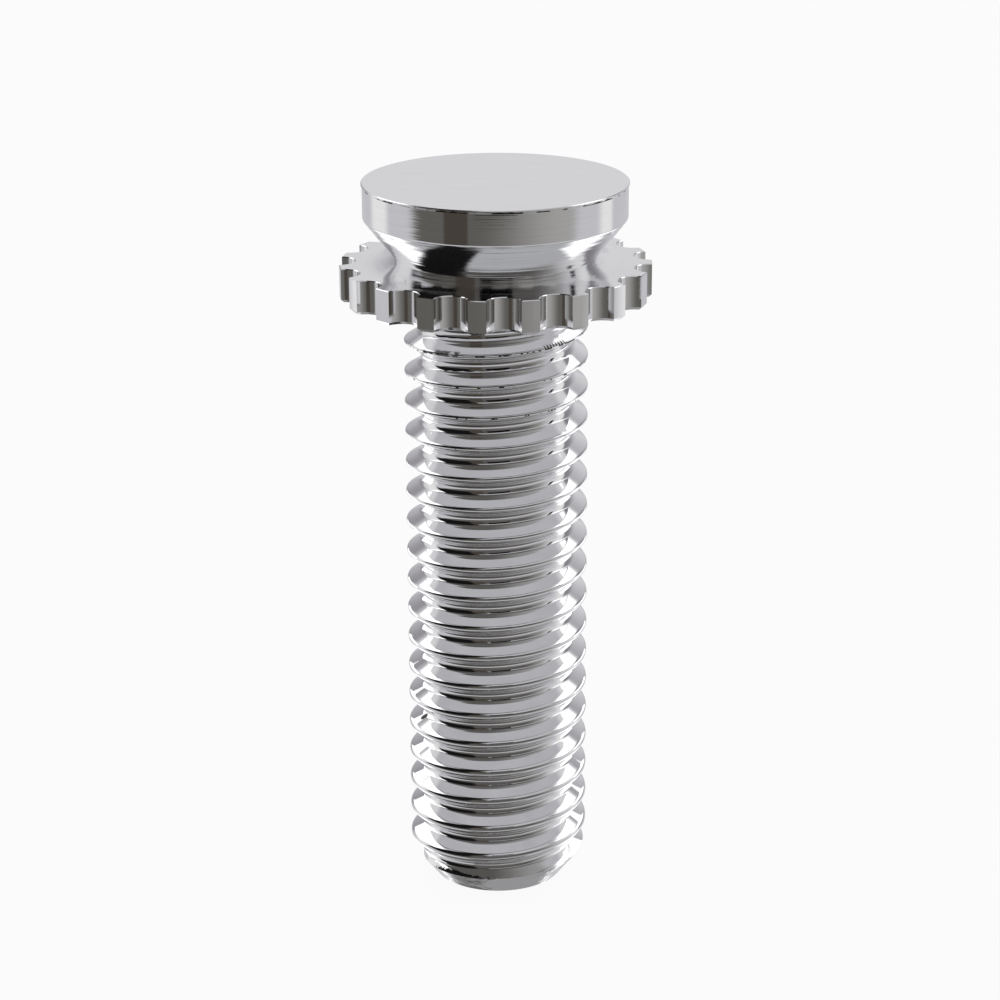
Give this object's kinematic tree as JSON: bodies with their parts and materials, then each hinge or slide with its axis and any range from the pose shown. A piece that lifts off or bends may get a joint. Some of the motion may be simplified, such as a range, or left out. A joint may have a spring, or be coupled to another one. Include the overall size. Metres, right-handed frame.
{
  "type": "concealed-head stud",
  "caption": "Threaded stud with a toothed clinch collar and an undercut round head that is pressed into a blind hole, so nothing shows on the other side.",
  "frame": {"origin": "centre of the flat at the threaded end, which the stud stands on", "axes": "+Z along the stud's axis, from the threaded end to the head; X and Y across it, seen from the front along +Y"},
  "size_m": [0.005, 0.005, 0.0119],
  "materials": {
    "polished_steel": "bright, smooth turned and rolled steel with fine turning lines"
  },
  "bodies": {
    "root": {"stud": "polished_steel"}
  },
  "joints": []
}
